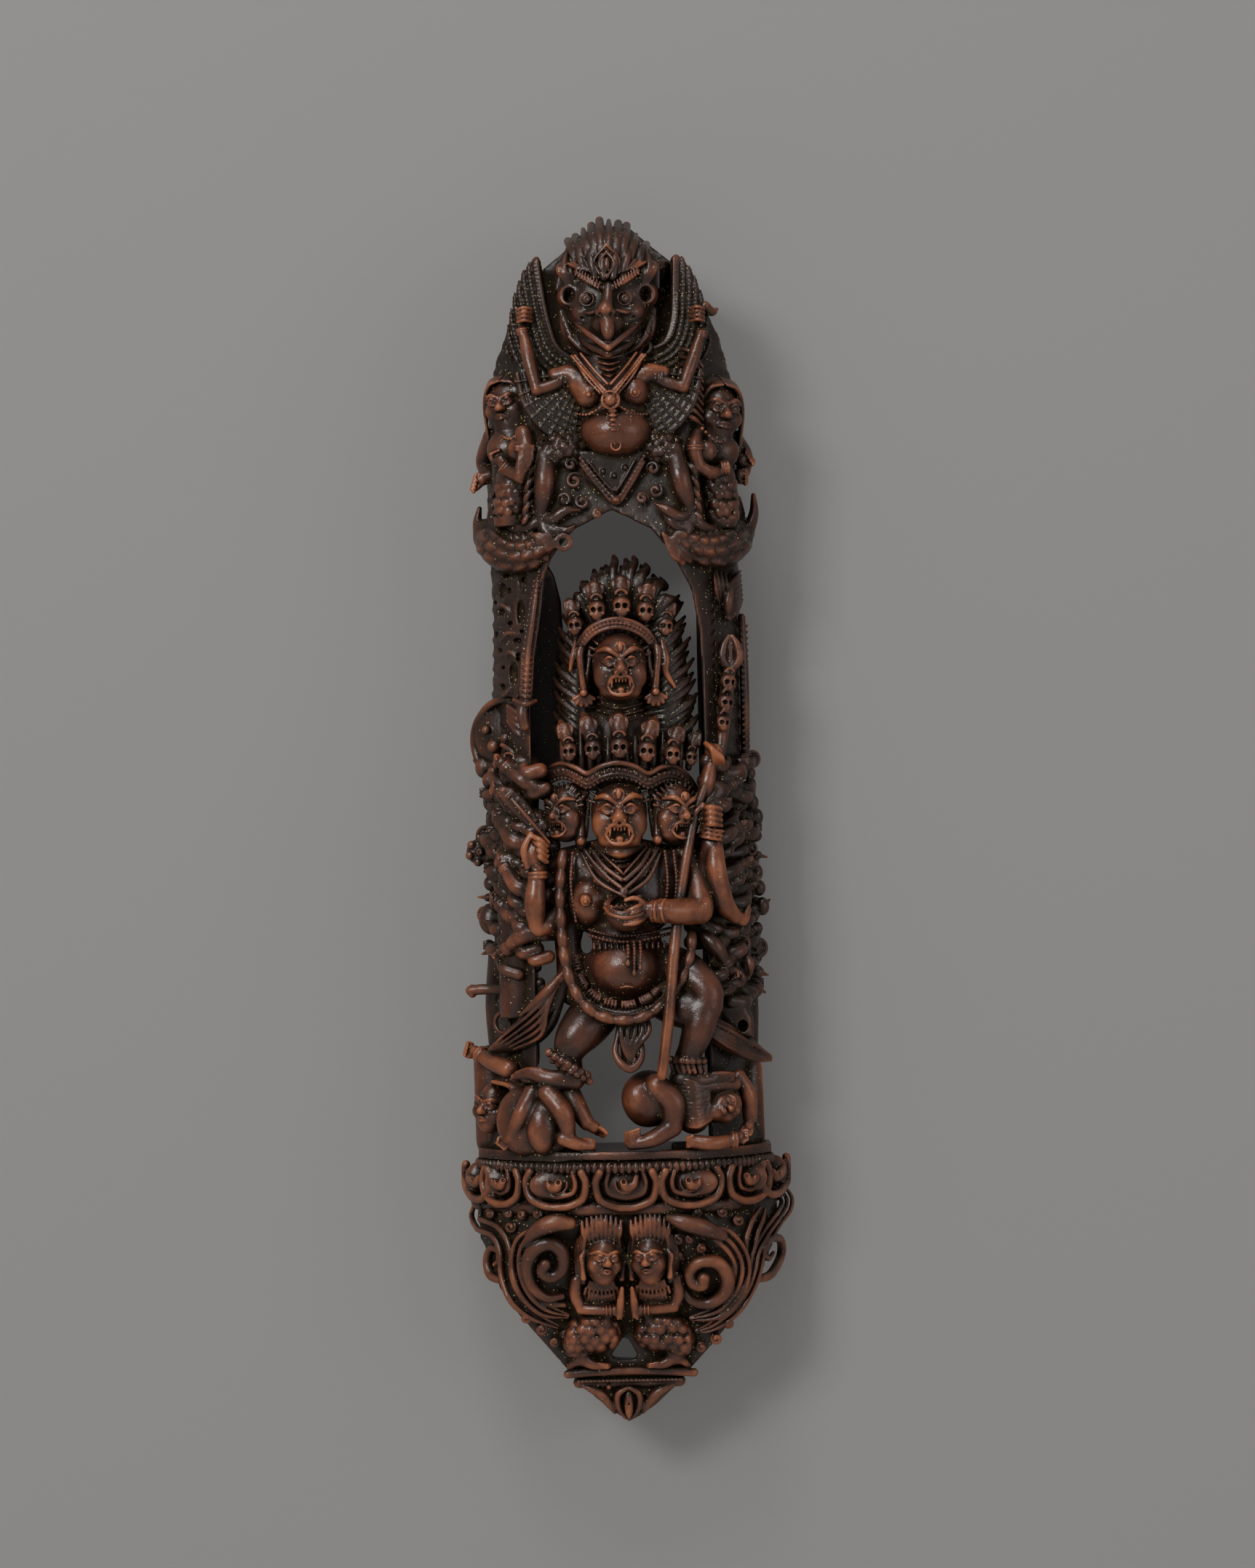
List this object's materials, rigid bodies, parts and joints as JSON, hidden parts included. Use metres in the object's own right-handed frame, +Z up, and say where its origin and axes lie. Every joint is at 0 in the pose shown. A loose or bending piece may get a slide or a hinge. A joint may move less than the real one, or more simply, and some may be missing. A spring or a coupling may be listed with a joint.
{
  "type": "deity wall plaque",
  "caption": "Tall openwork wall plaque carved as a many-armed wrathful deity in a pointed window, with a winged guardian above and a lotus base with serpent figures below.",
  "frame": {"origin": "middle of the flat back rim, at half the plaque's height", "axes": "+Z up along the plaque, +Y out of its back towards the wall, +X to the right of someone who looks at the carving"},
  "size_m": [0.0596, 0.0406, 0.22],
  "materials": {
    "shell": "polished dark red-brown cast resin, dusty in the recesses",
    "figures": "polished red-brown cast resin with amber highs",
    "ornament": "polished red-brown cast resin, ochre dust between the beads"
  },
  "bodies": {
    "root": {"back_rim": "shell", "shell_hood": "shell", "shell_wall_left": "shell", "shell_wall_right": "shell", "shell_base": "shell", "base_floor": "shell", "garuda_crest": "ornament", "garuda_head": "figures", "garuda_torso": "figures", "garuda_wing_left": "ornament", "garuda_wing_right": "ornament", "garuda_arm_left": "figures", "garuda_arm_right": "figures", "garuda_leg_left": "figures", "garuda_leg_right": "figures", "garuda_apron": "ornament", "upper_naga_left": "figures", "upper_naga_right": "figures", "naga_tail_left": "ornament", "naga_tail_right": "ornament", "sword": "ornament", "plumed_spear": "ornament", "top_hair": "ornament", "top_crown": "ornament", "top_head": "figures", "main_crown": "ornament", "diadem": "ornament", "main_head": "figures", "side_head_left": "figures", "side_head_right": "figures", "torso": "figures", "necklaces": "ornament", "bowl_arm": "figures", "skull_bowl": "ornament", "club_arm": "figures", "staff_arm": "figures", "skull_staff": "ornament", "disc": "ornament", "arm_fan_left": "figures", "arm_fan_right": "figures", "emblems_left": "ornament", "emblems_right": "ornament", "garland": "ornament", "kilt": "ornament", "sash": "ornament", "leg_left": "figures", "leg_right": "figures", "scarf_left": "ornament", "scarf_right": "ornament", "fallen_figure_left": "figures", "fallen_figure_right": "figures", "plinth": "ornament", "plinth_bead_row": "ornament", "lotus_petals": "ornament", "scrolls_left": "ornament", "scrolls_right": "ornament", "praying_naga_left": "figures", "praying_naga_right": "figures", "foot_ledge": "ornament", "foot_petals": "ornament"}
  },
  "joints": []
}
